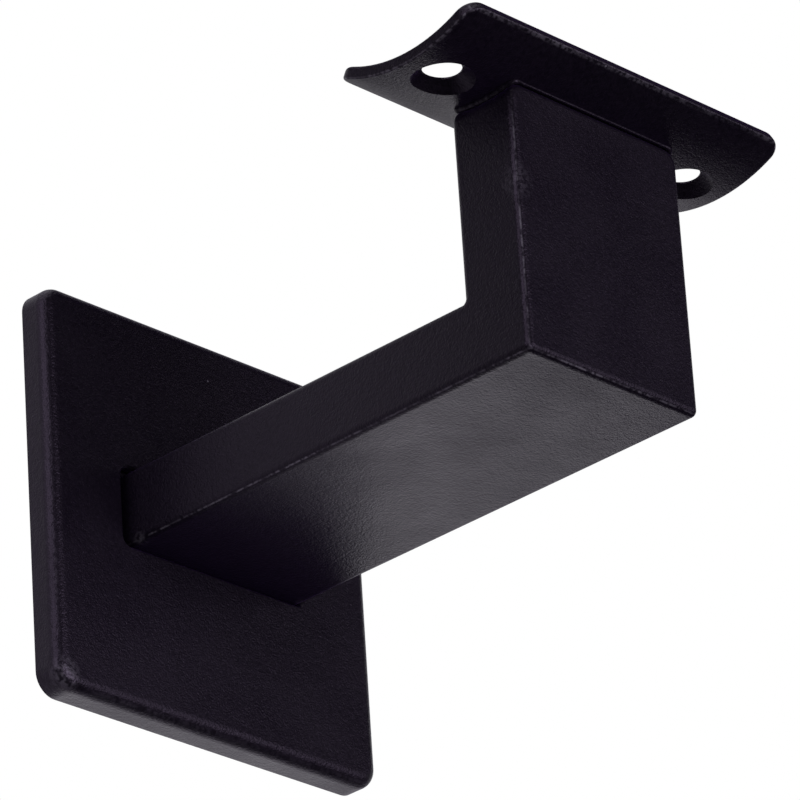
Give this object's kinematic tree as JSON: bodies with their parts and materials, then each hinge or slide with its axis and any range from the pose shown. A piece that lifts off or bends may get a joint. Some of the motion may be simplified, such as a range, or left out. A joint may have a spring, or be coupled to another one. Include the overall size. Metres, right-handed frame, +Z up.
{
  "type": "handrail bracket",
  "caption": "Square wall bracket for a round handrail: L-shaped flat-bar arm, curved screw-on saddle and a sliding cover over a hidden wall plate.",
  "frame": {"origin": "centre of the wall plate's back face, where the bracket meets the wall", "axes": "+Y into the wall, +Z up, X along the rail; the arm reaches out along -Y"},
  "size_m": [0.0658, 0.0936, 0.0742],
  "materials": {
    "bracket_coat": "matt black fine-texture powder coat on welded steel",
    "cover_coat": "matt black fine-texture powder coat on pressed sheet steel"
  },
  "bodies": {
    "bracket": {"wall_plate": "bracket_coat", "arm": "bracket_coat", "saddle": "bracket_coat"},
    "cover": {"cover": "cover_coat"}
  },
  "joints": [
    {"name": "cover_slide", "type": "slide", "parent": "bracket", "child": "cover", "axis": [0, -1, 0], "range_m": [0, 0.0685]}
  ]
}
